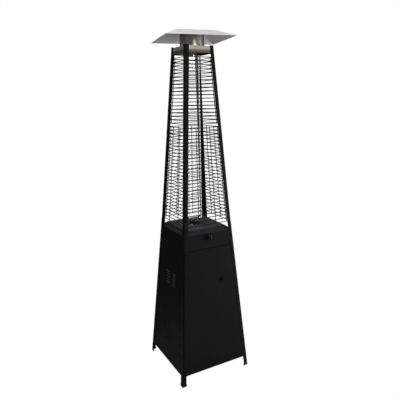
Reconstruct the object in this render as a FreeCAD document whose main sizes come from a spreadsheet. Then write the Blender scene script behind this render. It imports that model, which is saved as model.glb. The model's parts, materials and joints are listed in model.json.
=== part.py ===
import FreeCAD, Part
import math
import os

import Sketcher

# A free-standing pyramid patio heater that burns bottled gas. Four leaning corner posts carry a
# cabinet, a burner platform, a glass flame tube inside wire guards, a flame screen and a reflector.
# The tower tapers faster below the burner platform than above it; the knee is at the platform.
# Millimetres, +Z up, origin on the floor under the middle of the tower; the door faces -Y.

DRIVING_SIZES = {
    # tower
    "base_half": 261.5,
    "knee_half": 180.0,
    "knee_level": 1012.0,
    "top_half": 99.6,
    "post_top": 2187.0,
    "angle_thickness": 1.5,
    "leg_width": 29.0,
    "leg_top": 1062.0,
    "post_width": 26.0,
    "foot_width": 33.0,
    "foot_height": 12.0,
    "foot_thickness": 4.0,
    "foot_round": 8.0,
    # cabinet
    "sheet": 0.8,
    "cabinet_bottom": 70.0,
    "cabinet_top": 1010.0,
    "corner_gap": 3.0,
    "return_depth": 12.0,
    "shelf_level": 86.0,
    "shelf_thickness": 1.2,
    "shelf_clearance": 3.5,
    "shelf_lip": 15.2,
    "shelf_front_gap": 62.0,
    "shelf_vent_radius": 16.0,
    "shelf_vent_circle": 110.0,
    "fascia_bottom": 909.3,
    # louvres of the side panels
    "louvre_length": 56.0,
    "louvre_opening": 6.0,
    "louvre_pitch": 20.0,
    "louvre_columns_apart": 86.0,
    "louvre_offset": 15.0,
    "louvre_middle": 672.0,
    "louvre_lip": 3.0,
    "louvre_lip_height": 2.4,
    # door
    "door_bottom": 73.0,
    "door_top": 908.0,
    "door_out": 1.1,
    "door_left_margin": 11.0,
    "door_right_gap": 1.5,
    "door_knob_across": 82.0,
    "door_knob_level": 682.0,
    "door_knob_radius": 13.0,
    "door_knob_length": 18.0,
    "hinge_margin": 6.0,
    "hinge_out": 2.8,
    "hinge_radius": 2.4,
    "hinge_bore": 1.05,
    "hinge_pin": 1.0,
    "hinge_leaf": 0.8,
    "hinge_leaf_margin": 29.0,
    "hinge_knuckles": 13,
    "knuckle_gap": 0.9,
    "magnet_level": 500.0,
    "magnet_height": 34.0,
    "magnet_depth": 11.0,
    "magnet_gap": 0.4,
    # control
    "knob_level": 982.0,
    "knob_radius": 18.0,
    "knob_back": 8.0,
    "knob_length": 19.0,
    "stem_radius": 4.0,
    "plug_radius": 9.0,
    "running_gap": 0.05,
    "valve_half": 22.0,
    "valve_front": 14.0,
    "valve_depth": 50.0,
    "neck_radius": 11.0,
    "dial_radius": 25.0,
    "dial_bore": 12.5,
    "fascia_hole": 8.0,
    "inlet_radius": 6.5,
    "inlet_length": 18.0,
    # burner
    "platform_top": 1035.0,
    "platform_half": 147.0,
    "platform_sheet": 1.0,
    "tube_hole_radius": 47.0,
    "tray_level": 1010.0,
    "tray_sheet": 1.2,
    "tray_hole_radius": 38.0,
    "tray_lip": 5.0,
    "tray_lip_inset": 16.0,
    "burner_radius": 26.0,
    "burner_bottom": 940.0,
    "burner_wall": 1.0,
    "pilot_circle": 32.5,
    "gas_pipe_radius": 5.0,
    # glass tube and head
    "tube_radius": 45.0,
    "tube_wall": 2.5,
    "tube_bottom": 1017.0,
    "tube_top": 2196.0,
    "plate_top": 2182.0,
    "plate_bottom": 2140.0,
    "plate_sheet": 1.2,
    "screen_radius": 77.0,
    "screen_top": 2262.0,
    "screen_sheet": 0.8,
    "reflector_rim_half": 218.0,
    "reflector_top_half": 120.0,
    "reflector_rim_level": 2229.1,
    "reflector_top_level": 2270.0,
    "reflector_sheet": 1.0,
    "reflector_turn": -11.73,
    "stud_spread": 42.0,
    "stud_radius": 3.0,
    # guards
    "wire_radius": 2.5,
    "rail_radius": 3.0,
    "upright_radius": 2.5,
    "wire_pitch": 23.0,
    "weld": 0.5,
    "lower_guard_bottom": 1068.0,
    "lower_guard_top": 1691.0,
    "upper_guard_bottom": 1714.0,
    "upper_guard_top": 2117.0,
    "bottom_rail": 1137.0,
    "middle_rail": 1645.0,
    "upper_tab": 1737.0,
    "top_rail": 2094.0,
    "upright_share": 0.36,
    "guard_side_gap": 18.0,
    "edge_upright_margin": 29.5,
    "tab_height": 16.0,
    "tab_margin": 7.0,
    "tab_thickness": 1.6,
    # fasteners
    "screw_radius": 2.0,
    "screw_hole_radius": 2.1,
    "screw_head_radius": 4.0,
    "screw_head_height": 2.4,
    "screw_length": 8.0,
    "screw_margin": 12.0,
    "low_panel_screw": 110.0,
    "middle_panel_screw": 540.0,
    "high_panel_screw": 975.0,
    "post_screw": 1037.0,
    "plate_screw": 2160.0,
}

DERIVED_SIZES = {
    "lower_slope": "(base_half - knee_half) / knee_level",
    "lower_stretch": "sqrt(1 + lower_slope ^ 2)",
    "lower_floor_half": "base_half",
    "upper_slope": "(knee_half - top_half) / (post_top - knee_level)",
    "upper_stretch": "sqrt(1 + upper_slope ^ 2)",
    "upper_floor_half": "knee_half + upper_slope * knee_level",
}

FACE_TURN = {"front": 0, "right": 90, "back": 180, "left": -90}
CORNER_TURN = {"front_left": 0, "front_right": 90, "back_right": 180, "back_left": -90}
Z_AXIS = FreeCAD.Vector(0, 0, 1)

doc = FreeCAD.newDocument("PatioHeater")
nodes = []


class Size:
    """A number together with the spreadsheet expression that it comes from."""

    def __init__(self, value, text=None):
        self.value = float(value)
        self.text = text or repr(float(value))

    @staticmethod
    def of(other):
        return other if isinstance(other, Size) else Size(other)

    def __add__(self, other):
        other = Size.of(other)
        return Size(self.value + other.value, f"({self.text} + {other.text})")

    def __sub__(self, other):
        other = Size.of(other)
        return Size(self.value - other.value, f"({self.text} - {other.text})")

    def __mul__(self, other):
        other = Size.of(other)
        return Size(self.value * other.value, f"({self.text} * {other.text})")

    def __truediv__(self, other):
        other = Size.of(other)
        return Size(self.value / other.value, f"({self.text} / {other.text})")

    def __neg__(self):
        return Size(-self.value, f"(-1 * {self.text})")

    def __radd__(self, other):
        return Size.of(other) + self

    def __rsub__(self, other):
        return Size.of(other) - self

    def __rmul__(self, other):
        return Size.of(other) * self

    def bind(self, target, name):
        target.setExpression(name, self.text)


def make_sheet():
    sheet = doc.addObject("Spreadsheet::Sheet", "Sizes")
    cells = {alias: str(number) for alias, number in DRIVING_SIZES.items()}
    cells.update({alias: f"={formula}" for alias, formula in DERIVED_SIZES.items()})
    for row, alias in enumerate(cells, start=1):
        sheet.setAlias(f"B{row}", alias)
        sheet.set(f"A{row}", alias)
    for row, content in enumerate(cells.values(), start=1):
        sheet.set(f"B{row}", content)
    doc.recompute()
    return sheet


sheet = make_sheet()


def size(alias):
    return Size(getattr(sheet, alias), f"Sizes.{alias}")


class Taper:
    """One straight stretch of the tower, with its faces carried on down to the floor."""

    def __init__(self, name):
        self.floor_half = size(f"{name}_floor_half")
        self.slope = size(f"{name}_slope")
        self.stretch = size(f"{name}_stretch")
        self.lean = math.degrees(math.atan(self.slope.value))
        self.skin = size("angle_thickness") / self.stretch  # a flange, square to its face


lower, upper = Taper("lower"), Taper("upper")
skin = lower.skin


def taper_at(level):
    return lower if Size.of(level).value < size("knee_level").value else upper


def half(level):
    """Half the tower's width at a height."""
    taper = taper_at(level)
    return taper.floor_half - taper.slope * level


def along(level):
    """A height measured along a leaning face, from the floor."""
    return Size.of(level) * taper_at(level).stretch


def face_placement(face, across=0.0, level=0.0, out=0.0, taper=None):
    """The frame of a leaning face: X across it, Y up it and Z straight out of it."""
    taper = taper or taper_at(level)
    turn = FreeCAD.Rotation(Z_AXIS, FACE_TURN[face])
    tilt = FreeCAD.Rotation(FreeCAD.Vector(1, 0, 0), 90 - taper.lean)
    foot = turn.multVec(FreeCAD.Vector(0, -taper.floor_half.value, 0))
    offset = FreeCAD.Vector(across, along(level).value, out)
    shift = FreeCAD.Placement(offset, FreeCAD.Rotation())
    return FreeCAD.Placement(foot, turn.multiply(tilt)).multiply(shift)


def turned(angle):
    return FreeCAD.Placement(FreeCAD.Vector(), FreeCAD.Rotation(Z_AXIS, angle))


def finish(obj, label, placement=None):
    """Names a sub-part and puts it in the list that is written out."""
    obj.Label = label
    if placement is not None:
        obj.Placement = placement
    nodes.append(obj)
    return obj


# Bodies, sketches and features


def new_body(name):
    return doc.addObject("PartDesign::Body", name)


def plane(body, role):
    return next(item for item in body.Origin.OriginFeatures if item.Role == role)


def new_sketch(body, lift=None, role="XY_Plane"):
    sketch = body.newObject("Sketcher::SketchObject", "Outline")
    sketch.AttachmentSupport = (plane(body, role), [""])
    sketch.MapMode = "FlatFace"
    if lift is not None:
        Size.of(lift).bind(sketch, "AttachmentOffset.Base.z")
    return sketch


def drive_point(sketch, edge, end, place):
    """Holds one end of an edge at a place given by two sizes."""
    for kind, distance in zip(("DistanceX", "DistanceY"), place):
        distance = Size.of(distance)
        datum = Sketcher.Constraint(kind, -1, 1, edge, end, distance.value)
        distance.bind(sketch, f"Constraints[{sketch.addConstraint(datum)}]")


def add_polygon(sketch, corners):
    first = sketch.GeometryCount
    count = len(corners)
    points = [FreeCAD.Vector(Size.of(x).value, Size.of(y).value, 0) for x, y in corners]
    for i in range(count):
        sketch.addGeometry(Part.LineSegment(points[i], points[(i + 1) % count]))
    for i in range(count):
        following = first + (i + 1) % count
        sketch.addConstraint(Sketcher.Constraint("Coincident", first + i, 2, following, 1))
    for i in range(count):
        drive_point(sketch, first + i, 1, corners[i])


def add_circle(sketch, radius, across=0.0, up=0.0):
    radius, across, up = Size.of(radius), Size.of(across), Size.of(up)
    centre = FreeCAD.Vector(across.value, up.value, 0)
    edge = sketch.addGeometry(Part.Circle(centre, Z_AXIS, radius.value))
    datum = Sketcher.Constraint("Radius", edge, radius.value)
    radius.bind(sketch, f"Constraints[{sketch.addConstraint(datum)}]")
    if across.value == 0 and up.value == 0:
        sketch.addConstraint(Sketcher.Constraint("Coincident", edge, 3, -1, 1))
    else:
        drive_point(sketch, edge, 3, (across, up))


def pad(body, sketch, length, down=False):
    feature = body.newObject("PartDesign::Pad", "Pad")
    feature.Profile = sketch
    feature.Reversed = down
    Size.of(length).bind(feature, "Length")
    return feature


def pocket_through(body, sketch):
    feature = body.newObject("PartDesign::Pocket", "Pocket")
    feature.Profile = sketch
    feature.Type = "ThroughAll"
    feature.Midplane = True
    return feature


def rectangle(left, low, right, high):
    return [(left, low), (right, low), (right, high), (left, high)]


def square(half_side):
    return rectangle(-half_side, -half_side, half_side, half_side)


def trapezoid(low, high, left_margin, right_margin):
    """A strip of a leaning face between two heights, inset from its two slanting edges."""
    return [
        (left_margin - half(low), along(low)),
        (half(low) - right_margin, along(low)),
        (half(high) - right_margin, along(high)),
        (left_margin - half(high), along(high)),
    ]


def pad_polygon(body, corners, lift, length, down=False):
    sketch = new_sketch(body, lift)
    add_polygon(sketch, corners)
    return pad(body, sketch, length, down)


def pad_ring(body, outer, inner, lift, length):
    sketch = new_sketch(body, lift)
    add_circle(sketch, outer)
    if inner is not None:
        add_circle(sketch, inner)
    return pad(body, sketch, length)


def cut_circles(body, circles):
    sketch = new_sketch(body)
    for radius, across, up in circles:
        add_circle(sketch, radius, across, up)
    return pocket_through(body, sketch)


def around(count, circle, start=0.0):
    """Places spaced evenly round a circle."""
    angles = [math.radians(start + 360 * i / count) for i in range(count)]
    return [(circle * math.cos(a), circle * math.sin(a)) for a in angles]


def turned_part(body, profile):
    """A solid of revolution about Z, from an outline of (radius, height) places."""
    sketch = new_sketch(body, role="XZ_Plane")
    add_polygon(sketch, profile)
    feature = body.newObject("PartDesign::Revolution", "Revolution")
    feature.Profile = sketch
    feature.ReferenceAxis = (sketch, ["V_Axis"])
    feature.Angle = 360
    return feature


# Screw holes and screws, on all four leaning faces

PANEL_LEVELS = ("low_panel_screw", "middle_panel_screw", "high_panel_screw")
LEG_LEVELS = PANEL_LEVELS + ("post_screw",)
POST_LEVELS = (
    "post_screw",
    "bottom_rail",
    "middle_rail",
    "upper_tab",
    "top_rail",
    "plate_screw",
)


def screw_places(face, levels):
    """Places of the screws on one face; the door takes the place of the front's lower ones."""
    behind_door = ("low_panel_screw", "middle_panel_screw")
    kept = [name for name in levels if not (face == "front" and name in behind_door)]
    places = []
    for name in kept:
        level = size(name).value
        reach = (half(level) - size("screw_margin")).value
        places += [face_placement(face, side * reach, level) for side in (-1, 1)]
    return places


def drills(levels):
    """One compound of all the drilled holes at some of the levels."""
    holes = []
    depth = 20.0
    for face in FACE_TURN:
        for place in screw_places(face, levels):
            hole = doc.addObject("Part::Cylinder", "Drill")
            size("screw_hole_radius").bind(hole, "Radius")
            hole.Height = depth
            back = FreeCAD.Placement(FreeCAD.Vector(0, 0, -depth / 2), FreeCAD.Rotation())
            hole.Placement = place.multiply(back)
            holes.append(hole)
    group = doc.addObject("Part::Compound", "Drills")
    group.Links = holes
    return group


def drilled(blank, label, tool):
    """A sub-part with its screw holes: the blank less the drills."""
    cut = doc.addObject("Part::Cut", "Drilled")
    cut.Base = blank
    cut.Tool = tool
    return finish(cut, label)


def screw_template():
    """A pan-head screw, its head above Z = 0."""
    body = new_body("Screw")
    shank, head = size("screw_radius"), size("screw_head_radius")
    high = size("screw_head_height")
    profile = [
        (0.0, -size("screw_length")),
        (shank, -size("screw_length")),
        (shank, 0.0),
        (head, 0.0),
        (head, high * 0.4),
        (head * 0.8, high * 0.8),
        (head * 0.4, high),
        (0.0, high),
    ]
    turned_part(body, profile)
    return body


def copies(template, places):
    return Part.makeCompound([template.Shape.transformed(place.toMatrix()) for place in places])


def screws(template, label, levels, inset):
    """All the screws at some levels, as one node of separate solids."""
    seat = FreeCAD.Placement(FreeCAD.Vector(0, 0, -inset), FreeCAD.Rotation())
    places = []
    for face in FACE_TURN:
        places += [place.multiply(seat) for place in screw_places(face, levels)]
    group = doc.addObject("Part::Feature", "Screws")
    group.Shape = copies(template, places)
    return finish(group, label)


# Frame


def angle_outline(corner, width, thickness):
    """An L of two flanges that meet at the corner (-corner, -corner)."""
    return [
        (-corner, -corner),
        (width - corner, -corner),
        (width - corner, thickness - corner),
        (thickness - corner, thickness - corner),
        (thickness - corner, width - corner),
        (-corner, width - corner),
    ]


def leaning_angle(levels, inset, width, thickness):
    """A length of angle that follows a corner of the tower, cut level at both ends."""
    body = new_body("Angle")
    for low, high in zip(levels, levels[1:]):
        sketch = new_sketch(body, low)
        add_polygon(sketch, angle_outline(half(low) - inset, width, thickness))
        length = pad(body, sketch, high - low)
        slope = taper_at(low).slope.value
        length.UseCustomVector = True
        length.Direction = FreeCAD.Vector(slope, slope, 1)
        length.AlongSketchNormal = True
    return body


def make_frame(leg_drills, post_drills):
    thickness, knee = size("angle_thickness"), size("knee_level")
    for corner, turn in CORNER_TURN.items():
        levels = (size("foot_height"), knee, size("leg_top"))
        leg = leaning_angle(levels, Size(0), size("leg_width"), thickness)
        leg.Placement = turned(turn)
        drilled(leg, f"lower_leg_{corner}", leg_drills)
        post = leaning_angle((knee, size("post_top")), thickness, size("post_width"), thickness)
        post.Placement = turned(turn)
        drilled(post, f"upper_post_{corner}", post_drills)
        finish(make_foot(), f"foot_pad_{corner}", turned(turn))


def make_foot():
    """A moulded shoe under a leg, its two free ends rounded up from the floor."""
    levels = (Size(0), size("foot_height"))
    body = leaning_angle(levels, Size(0), size("foot_width"), size("foot_thickness"))
    doc.recompute()
    shoe = body.Tip
    free_end = size("foot_width").value - size("base_half").value
    ends = []
    for index, edge in enumerate(shoe.Shape.Edges, start=1):
        box = edge.BoundBox
        on_floor = box.ZMax < 0.01
        across_end = box.XMin > free_end - 0.1 or box.YMin > free_end - 0.1
        if on_floor and across_end:
            ends.append(f"Edge{index}")
    fillet = body.newObject("PartDesign::Fillet", "Rounded")
    fillet.Base = (shoe, ends)
    size("foot_round").bind(fillet, "Radius")
    return body


# Cabinet


def make_shelf():
    """The bottle shelf, standing on the panels' folds: its lip is turned down all round."""
    body = new_body("Shelf")
    reach = half(size("shelf_level")) - size("shelf_clearance")
    front = reach - size("shelf_front_gap")
    thickness = size("shelf_thickness")
    inner = reach - thickness
    outline = rectangle(-reach, -front, reach, reach)
    pad_polygon(body, outline, size("shelf_level"), thickness)
    lip = new_sketch(body, size("shelf_level"))
    add_polygon(lip, outline)
    add_polygon(lip, rectangle(-inner, thickness - front, inner, inner))
    pad(body, lip, size("shelf_lip"), down=True)
    vent, circle = size("shelf_vent_radius"), size("shelf_vent_circle")
    places = [(circle * x, circle * y) for x, y in around(4, 1.0, start=45)]
    cut_circles(body, [(vent, x, y) for x, y in places])
    finish(body, "base_shelf")


def add_return(body, low, high, behind, margin=None):
    """A stiffening fold along a level edge, turned into the cabinet."""
    margin = margin or size("leg_width") + size("corner_gap")
    strip = trapezoid(low, high, margin, margin)
    pad_polygon(body, strip, behind, size("return_depth"), down=True)


def louvre_outlines(low, high):
    """Outlines at every louvre, between two heights measured from the louvre's own middle."""
    outlines = []
    reach = size("louvre_length") / 2
    for column in (-0.5, 0.5):
        middle = size("louvre_columns_apart") * column + size("louvre_offset")
        for row in (-2, -1, 0, 1, 2):
            level = along(size("louvre_middle")) + size("louvre_pitch") * row
            outlines.append(rectangle(middle - reach, level + low, middle + reach, level + high))
    return outlines


def add_louvres(body):
    """Two columns of slots, each under a pressed lip."""
    opening = size("louvre_opening")
    slots = new_sketch(body)
    for outline in louvre_outlines(-opening / 2, opening / 2):
        add_polygon(slots, outline)
    pocket_through(body, slots)
    lips = new_sketch(body, -(skin + size("sheet")))
    for outline in louvre_outlines(opening / 2, opening / 2 + size("louvre_lip_height")):
        add_polygon(lips, outline)
    pad(body, lips, skin + size("sheet") + size("louvre_lip"))


def face_panel(low, high):
    """A sheet behind the corner flanges, with a fold along its top and bottom."""
    body = new_body("Panel")
    gap, thickness = size("corner_gap"), size("sheet")
    behind = -(skin + thickness)
    pad_polygon(body, trapezoid(low, high, gap, gap), behind, thickness)
    add_return(body, low, low + thickness, behind)
    add_return(body, high - thickness, high, behind)
    return body


def make_panels(panel_drills):
    low, high = size("cabinet_bottom"), size("cabinet_top")
    for face in ("left", "right", "back"):
        panel = face_panel(low, high)
        if face != "back":
            add_louvres(panel)
        panel.Placement = face_placement(face)
        drilled(panel, f"{face}_panel", panel_drills)
    fascia = face_panel(size("fascia_bottom"), high)
    cut_circles(fascia, [(size("fascia_hole"), 0.0, along(size("knob_level")))])
    fascia.Placement = face_placement("front")
    drilled(fascia, "control_fascia", panel_drills)


# Door


def make_door():
    body = new_body("Door")
    low, high, thickness = size("door_bottom"), size("door_top"), size("sheet")
    left = size("door_left_margin")
    right = size("leg_width") + size("door_right_gap")
    out = size("door_out")
    pad_polygon(body, trapezoid(low, high, left, right), out, thickness)
    add_return(body, low, low + thickness, out)
    add_return(body, high - thickness, high, out)
    finish(body, "door_panel", face_placement("front"))


def make_door_knob():
    """A turned pull: a narrow neck under a rounded head."""
    body = new_body("Pull")
    radius, length = size("door_knob_radius"), size("door_knob_length")
    profile = [
        (0.0, 0.0),
        (radius * 0.6, 0.0),
        (radius * 0.45, length * 0.2),
        (radius * 0.45, length * 0.45),
        (radius, length * 0.6),
        (radius, length * 0.85),
        (radius * 0.85, length),
        (0.0, length),
    ]
    turned_part(body, profile)
    across, level = size("door_knob_across").value, size("door_knob_level").value
    out = size("door_out").value + size("sheet").value
    finish(body, "door_knob", face_placement("front", across, level, out))


def hinge_line(level):
    """A point of the hinge's axis, in the frame of the front face."""
    across = size("hinge_margin") - half(level)
    return FreeCAD.Vector(across.value, along(level).value, size("hinge_out").value)


def knuckle_spans():
    """Start and end of each knuckle, as shares of the hinge's length."""
    count = int(size("hinge_knuckles").value)
    return [(i / count, (i + 1) / count) for i in range(count)]


def slanting_plate(low, high, left, right, out, thickness):
    """A flat strip between two heights and two margins from the face's left edge."""
    corners = [(left, low), (right, low), (right, high), (left, high)]
    points = [
        FreeCAD.Vector(margin - half(level).value, along(level).value, out)
        for margin, level in corners
    ]
    outline = Part.makePolygon(points + points[:1])
    return Part.Face(outline).extrude(FreeCAD.Vector(0, 0, thickness))


def hinge_leaf(label, first, near, far, out):
    """A leaf with every second knuckle of the hinge, joined to it by a tab at each knuckle."""
    low, high = size("door_bottom").value, size("door_top").value
    start, end = hinge_line(low), hinge_line(high)
    run = end - start
    axis_margin = size("hinge_margin").value
    thickness = size("hinge_leaf").value
    gap = size("knuckle_gap").value / run.Length
    leaf = slanting_plate(low, high, min(near, far), max(near, far), out, thickness)
    bores = []
    pieces = []
    for begin, finish_share in knuckle_spans()[first::2]:
        begin, finish_share = begin + gap / 2, finish_share - gap / 2
        foot = start + run * begin
        length = run.Length * (finish_share - begin)
        pieces.append(Part.makeCylinder(size("hinge_radius").value, length, foot, run))
        bores.append(Part.makeCylinder(size("hinge_bore").value, length, foot, run))
        tab_low = low + (high - low) * begin
        tab_high = low + (high - low) * finish_share
        sides = sorted((axis_margin, near))
        pieces.append(slanting_plate(tab_low, tab_high, sides[0], sides[1], out, thickness))
    shape = leaf.multiFuse(pieces).cut(Part.makeCompound(bores))
    piece = doc.addObject("Part::Feature", "Leaf")
    piece.Shape = shape
    finish(piece, label, face_placement("front"))


def make_hinge():
    clear = size("hinge_radius").value + 0.5
    margin = size("hinge_margin").value
    leaf = size("hinge_leaf").value
    hinge_leaf("hinge_fixed_leaf", 0, margin - clear, 1.0, 0.0)
    far = size("hinge_leaf_margin").value
    hinge_leaf("hinge_door_leaf", 1, margin + clear, far, size("door_out").value - leaf)
    pin = doc.addObject("Part::Cylinder", "Pin")
    start = hinge_line(size("door_bottom").value)
    run = hinge_line(size("door_top").value) - start
    size("hinge_pin").bind(pin, "Radius")
    pin.Height = run.Length
    local = FreeCAD.Placement(start, FreeCAD.Rotation(Z_AXIS, run))
    finish(pin, "hinge_pin", face_placement("front").multiply(local))


def make_catch():
    """A magnet behind the right-hand flange, and the door's plate that it holds."""
    low = size("magnet_level")
    high = low + size("magnet_height")
    near, far = Size(8.0), Size(48.0)
    magnet = new_body("Magnet")
    block = [
        (half(low) - far, along(low)),
        (half(low) - near, along(low)),
        (half(high) - near, along(high)),
        (half(high) - far, along(high)),
    ]
    pad_polygon(magnet, block, -skin, size("magnet_depth"), down=True)
    finish(magnet, "door_magnet", face_placement("front"))
    plate = new_body("Strike")
    edge = size("leg_width") + size("door_right_gap") + 1.0
    strip = [
        (half(low) - far, along(low)),
        (half(low) - edge, along(low)),
        (half(high) - edge, along(high)),
        (half(high) - far, along(high)),
    ]
    thickness = skin + size("door_out") - size("magnet_gap")
    pad_polygon(plate, strip, size("door_out"), thickness, down=True)
    finish(plate, "door_strike_plate", face_placement("front"))


# Gas control


def control_placement():
    return face_placement("front", 0.0, size("knob_level").value)


def make_valve():
    """The valve body: a block with a neck, a bore for the plug and the gas inlet below."""
    body = new_body("Valve")
    side, front = size("valve_half"), size("valve_front")
    pad_polygon(body, square(side), -front, size("valve_depth"), down=True)
    pad_ring(body, size("neck_radius"), None, -front, front - skin - size("sheet"))
    bore = new_sketch(body, -(front + size("valve_depth") - 4.0))
    add_circle(bore, size("plug_radius") + size("running_gap"))
    hollow = body.newObject("PartDesign::Pocket", "Bore")
    hollow.Profile = bore
    hollow.Reversed = True
    (size("valve_depth") - 8.0).bind(hollow, "Length")
    stem_way = new_sketch(body, -front - 10.0)
    add_circle(stem_way, size("stem_radius") + size("running_gap"))
    way = body.newObject("PartDesign::Pocket", "StemWay")
    way.Profile = stem_way
    way.Reversed = True
    Size(30.0).bind(way, "Length")
    inlet = new_sketch(body, side - 1.0, role="XZ_Plane")
    middle = -(front + size("valve_depth") / 2)
    add_circle(inlet, size("inlet_radius"), 0.0, middle)
    pad(body, inlet, size("inlet_length") + 1.0)
    finish(body, "gas_valve", control_placement())


def make_plug_stem_and_knob():
    back = -(size("valve_front") + size("valve_depth") - 6.0)
    front = -(size("valve_front") + 6.0)
    stem = size("stem_radius")
    plug = new_body("Plug")
    pad_ring(plug, size("plug_radius"), stem + size("running_gap"), back, front - back)
    finish(plug, "valve_plug", control_placement())
    shaft = new_body("Stem")
    stem_back = back + 6.0
    stem_front = size("knob_back") + 12.0
    pad_ring(shaft, stem, None, stem_back, stem_front - stem_back)
    finish(shaft, "valve_stem", control_placement())
    finish(make_knob(), "control_knob", control_placement())
    dial = new_body("Dial")
    pad_ring(dial, size("dial_radius"), size("dial_bore"), -skin, size("angle_thickness"))
    finish(dial, "dial_ring", control_placement())


def make_knob():
    """A round knob with a skirt, a waist and a raised grip bar."""
    body = new_body("Knob")
    radius, back, length = size("knob_radius"), size("knob_back"), size("knob_length")
    stem = size("stem_radius")
    profile = [
        (stem, back),
        (radius, back),
        (radius, back + length * 0.25),
        (radius * 0.8, back + length * 0.35),
        (radius * 0.72, back + length * 0.7),
        (0.0, back + length * 0.7),
        (0.0, back + 12.0),
        (stem, back + 12.0),
    ]
    turned_part(body, profile)
    grip = rectangle(-radius * 0.18, -radius * 0.75, radius * 0.18, radius * 0.9)
    pad_polygon(body, grip, back + length * 0.65, length * 0.35)
    return body


def bent_tube(points, radius, bend):
    """A round bar along straight runs joined by tangent arcs."""
    edges = []
    start = points[0]
    for before, corner, after in zip(points, points[1:], points[2:]):
        come, leave = (before - corner).normalize(), (after - corner).normalize()
        turn = math.pi - come.getAngle(leave)
        setback = bend * math.tan(turn / 2)
        enter, exit_point = corner + come * setback, corner + leave * setback
        bisector = (come + leave).normalize()
        centre = corner + bisector * (bend / math.cos(turn / 2))
        middle = centre - bisector * bend
        edges.append(Part.LineSegment(start, enter).toShape())
        edges.append(Part.Arc(enter, middle, exit_point).toShape())
        start = exit_point
    edges.append(Part.LineSegment(start, points[-1]).toShape())
    path = Part.Wire(edges)
    profile = Part.Wire(Part.makeCircle(radius, points[0], points[1] - points[0]))
    return path.makePipeShell([profile], True, False)


def make_gas_pipe():
    """The pipe from the back of the valve, under the burner and up to its injector."""
    level = size("knob_level").value
    out = size("valve_front").value + size("valve_depth").value
    start = control_placement().multVec(FreeCAD.Vector(0, 0, 0.5 - out))
    low = size("burner_bottom").value - 38.0
    points = [
        FreeCAD.Vector(0, start.y, start.z),
        FreeCAD.Vector(0, start.y + 36.0, level - 6.0),
        FreeCAD.Vector(0, start.y + 52.0, low),
        FreeCAD.Vector(0, 0, low),
        FreeCAD.Vector(0, 0, size("burner_bottom").value - 14.0),
    ]
    pipe = doc.addObject("Part::Feature", "Pipe")
    pipe.Shape = bent_tube(points, size("gas_pipe_radius").value, 12.0)
    finish(pipe, "gas_pipe")


# Burner


def make_burner_tray():
    """The tray on the panels' top folds, which carries the burner; a rim below locates it."""
    body = new_body("Tray")
    level, thickness = size("tray_level"), size("tray_sheet")
    pad_polygon(body, square(half(level) - size("shelf_clearance")), level, thickness)
    rim = half(level) - size("tray_lip_inset")
    lip = new_sketch(body, level)
    add_polygon(lip, square(rim))
    add_polygon(lip, square(rim - thickness))
    pad(body, lip, size("tray_lip"), down=True)
    cut_circles(body, [(size("tray_hole_radius"), 0.0, 0.0)])
    finish(body, "burner_tray")


IGNITION = {  # angle round the burner, radius, bottom, top, and the radius of the tip
    "pilot_burner": (90, 3.5, 954.0, 1022.0, 5.0),
    "thermocouple": (60, 2.0, 944.0, 1028.0, 2.6),
    "igniter_electrode": (120, 3.0, 949.0, 1024.0, 3.6),
}


def make_burner():
    level, radius, wall = size("tray_level"), size("burner_radius"), size("burner_wall")
    bottom = size("burner_bottom")
    bracket = new_body("Bracket")
    pad_ring(bracket, size("tray_hole_radius") + 20.0, radius + 0.1, level - 1.5, Size(1.5))
    holes = []
    for angle, rod, _, _, _ in IGNITION.values():
        ((x, y),) = around(1, 1.0, start=angle)
        holes.append((Size(rod) + 0.1, size("pilot_circle") * x, size("pilot_circle") * y))
    cut_circles(bracket, holes)
    finish(bracket, "burner_bracket")

    cup = new_body("Cup")
    pad_ring(cup, radius, radius - wall, bottom, level - bottom)
    pad_ring(cup, radius, Size(6.1), bottom, wall)
    pad_ring(cup, radius + 2.5, radius - wall, level, wall)
    finish(cup, "burner_cup")

    screen = new_body("Screen")
    inner = radius - wall
    profile = [
        (0.0, level + 2.0),
        (inner * 0.6, level - 1.0),
        (inner, level - 8.0),
        (inner, level - 6.5),
        (inner * 0.6, level + 0.6),
        (0.0, level + 3.6),
    ]
    turned_part(screen, profile)
    finish(screen, "burner_screen")

    injector = new_body("Injector")
    pad_ring(injector, Size(6.0), None, bottom - 14.0, Size(22.0))
    pad_ring(injector, Size(9.0), None, bottom - 12.0, Size(8.0))
    finish(injector, "gas_injector")
    make_ignition()


def make_ignition():
    """Pilot, thermocouple and electrode: upright rods with a wider tip beside the burner."""
    for label, (angle, rod, low, high, tip) in IGNITION.items():
        body = new_body("Rod")
        profile = [
            (0.0, low),
            (rod, low),
            (rod, high - 8.0),
            (tip, high - 6.0),
            (tip, high - 2.0),
            (rod * 0.6, high),
            (0.0, high),
        ]
        turned_part(body, profile)
        ((x, y),) = around(1, size("pilot_circle").value, start=angle)
        finish(body, label, FreeCAD.Placement(FreeCAD.Vector(x, y, 0), FreeCAD.Rotation()))


def folded_tray(low, low_half, high, high_half, thickness):
    """A shallow square pyramid of sheet, open below, with a flat top."""
    body = new_body("Folded")
    outer = [new_sketch(body, low), new_sketch(body, high)]
    add_polygon(outer[0], square(low_half))
    add_polygon(outer[1], square(high_half))
    solid = body.newObject("PartDesign::AdditiveLoft", "Outside")
    solid.Profile = outer[0]
    solid.Sections = [outer[1]]
    solid.Ruled = True
    spread = (low_half - high_half) / (high - low)
    hem = Size(1.0)
    wall = thickness * Size(
        math.sqrt(1 + spread.value**2), f"sqrt(1 + {spread.text} ^ 2)"
    )
    inner = [new_sketch(body, low - hem), new_sketch(body, high - thickness)]
    add_polygon(inner[0], square(low_half + spread * hem - wall))
    add_polygon(inner[1], square(high_half + spread * thickness - wall))
    hollow = body.newObject("PartDesign::SubtractiveLoft", "Inside")
    hollow.Profile = inner[0]
    hollow.Sections = [inner[1]]
    hollow.Ruled = True
    return body


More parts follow.
